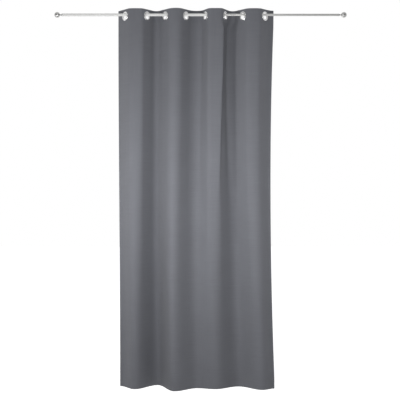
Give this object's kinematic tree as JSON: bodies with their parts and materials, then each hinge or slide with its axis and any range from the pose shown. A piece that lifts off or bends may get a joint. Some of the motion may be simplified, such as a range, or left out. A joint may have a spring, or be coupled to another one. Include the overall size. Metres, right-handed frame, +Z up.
{
  "type": "eyelet curtain panel on a telescopic rod",
  "caption": "Grey fabric curtain panel with metal eyelets, threaded on a telescopic rod with a ball finial at each end; it hangs in soft vertical folds.",
  "frame": {"origin": "on the rod's axis, halfway between the outer ends of the two tubes", "axes": "+X along the rod to the right as the room sees it, +Y to the wall, +Z up"},
  "size_m": [2.0072, 0.1941, 2.6],
  "materials": {
    "grey_cloth": "matt plain weave",
    "white_tape": "matt non-woven",
    "bright_nickel": "polished",
    "satin_steel": "satin plated",
    "dark_chrome": "polished, darker",
    "grey_plastic": "moulded",
    "zinc_steel": "zinc plated"
  },
  "bodies": {
    "rod_outer": {"outer_tube": "satin_steel", "tube_mouth_bush": "grey_plastic"},
    "rod_inner": {"inner_tube": "dark_chrome"},
    "panel": {"cloth_panel": "grey_cloth", "header_tape": "white_tape", "eyelet_1_front": "bright_nickel", "eyelet_1_back": "bright_nickel"},
    "eyelet_2": {"eyelet_2_front": "bright_nickel", "eyelet_2_back": "bright_nickel"},
    "eyelet_3": {"eyelet_3_front": "bright_nickel", "eyelet_3_back": "bright_nickel"},
    "eyelet_4": {"eyelet_4_front": "bright_nickel", "eyelet_4_back": "bright_nickel"},
    "eyelet_5": {"eyelet_5_front": "bright_nickel", "eyelet_5_back": "bright_nickel"},
    "eyelet_6": {"eyelet_6_front": "bright_nickel", "eyelet_6_back": "bright_nickel"},
    "eyelet_7": {"eyelet_7_front": "bright_nickel", "eyelet_7_back": "bright_nickel"},
    "eyelet_8": {"eyelet_8_front": "bright_nickel", "eyelet_8_back": "bright_nickel"},
    "finial_left": {"finial_left_ball": "bright_nickel", "finial_left_neck": "dark_chrome", "finial_left_stud": "zinc_steel", "finial_left_plug": "grey_plastic"},
    "finial_right": {"finial_right_ball": "bright_nickel", "finial_right_neck": "dark_chrome", "finial_right_stud": "zinc_steel", "finial_right_plug": "grey_plastic"}
  },
  "joints": [
    {"name": "rod_extend", "type": "slide", "parent": "rod_outer", "child": "rod_inner", "axis": [1, 0, 0], "range_m": [-0.28, 0.1]},
    {"name": "finial_left_pull", "type": "slide", "parent": "rod_outer", "child": "finial_left", "axis": [-1, 0, 0], "range_m": [0, 0.05]},
    {"name": "finial_right_pull", "type": "slide", "parent": "rod_inner", "child": "finial_right", "axis": [1, 0, 0], "range_m": [0, 0.05]},
    {"name": "panel_slide", "type": "slide", "parent": "rod_outer", "child": "panel", "axis": [1, 0, 0], "range_m": [-0.38, 0.2]},
    {"name": "gather", "type": "slide", "parent": "panel", "child": "eyelet_8", "axis": [-1, 0, 0], "range_m": [0, 0.55446], "deforming": ["cloth_panel", "header_tape"]},
    {"name": "eyelet_7_slide", "type": "slide", "parent": "panel", "child": "eyelet_7", "axis": [-1, 0, 0], "range_m": [0, 0.46738]},
    {"name": "eyelet_6_slide", "type": "slide", "parent": "panel", "child": "eyelet_6", "axis": [-1, 0, 0], "range_m": [0, 0.39762]},
    {"name": "eyelet_5_slide", "type": "slide", "parent": "panel", "child": "eyelet_5", "axis": [-1, 0, 0], "range_m": [0, 0.31885]},
    {"name": "eyelet_4_slide", "type": "slide", "parent": "panel", "child": "eyelet_4", "axis": [-1, 0, 0], "range_m": [0, 0.24077]},
    {"name": "eyelet_3_slide", "type": "slide", "parent": "panel", "child": "eyelet_3", "axis": [-1, 0, 0], "range_m": [0, 0.15923]},
    {"name": "eyelet_2_slide", "type": "slide", "parent": "panel", "child": "eyelet_2", "axis": [-1, 0, 0], "range_m": [0, 0.0859]}
  ],
  "couplings": [
    {"joint": "eyelet_2_slide", "follows": "gather", "ratio": 0.15492},
    {"joint": "eyelet_3_slide", "follows": "gather", "ratio": 0.28717},
    {"joint": "eyelet_4_slide", "follows": "gather", "ratio": 0.43423},
    {"joint": "eyelet_5_slide", "follows": "gather", "ratio": 0.57505},
    {"joint": "eyelet_6_slide", "follows": "gather", "ratio": 0.71713},
    {"joint": "eyelet_7_slide", "follows": "gather", "ratio": 0.84294}
  ]
}
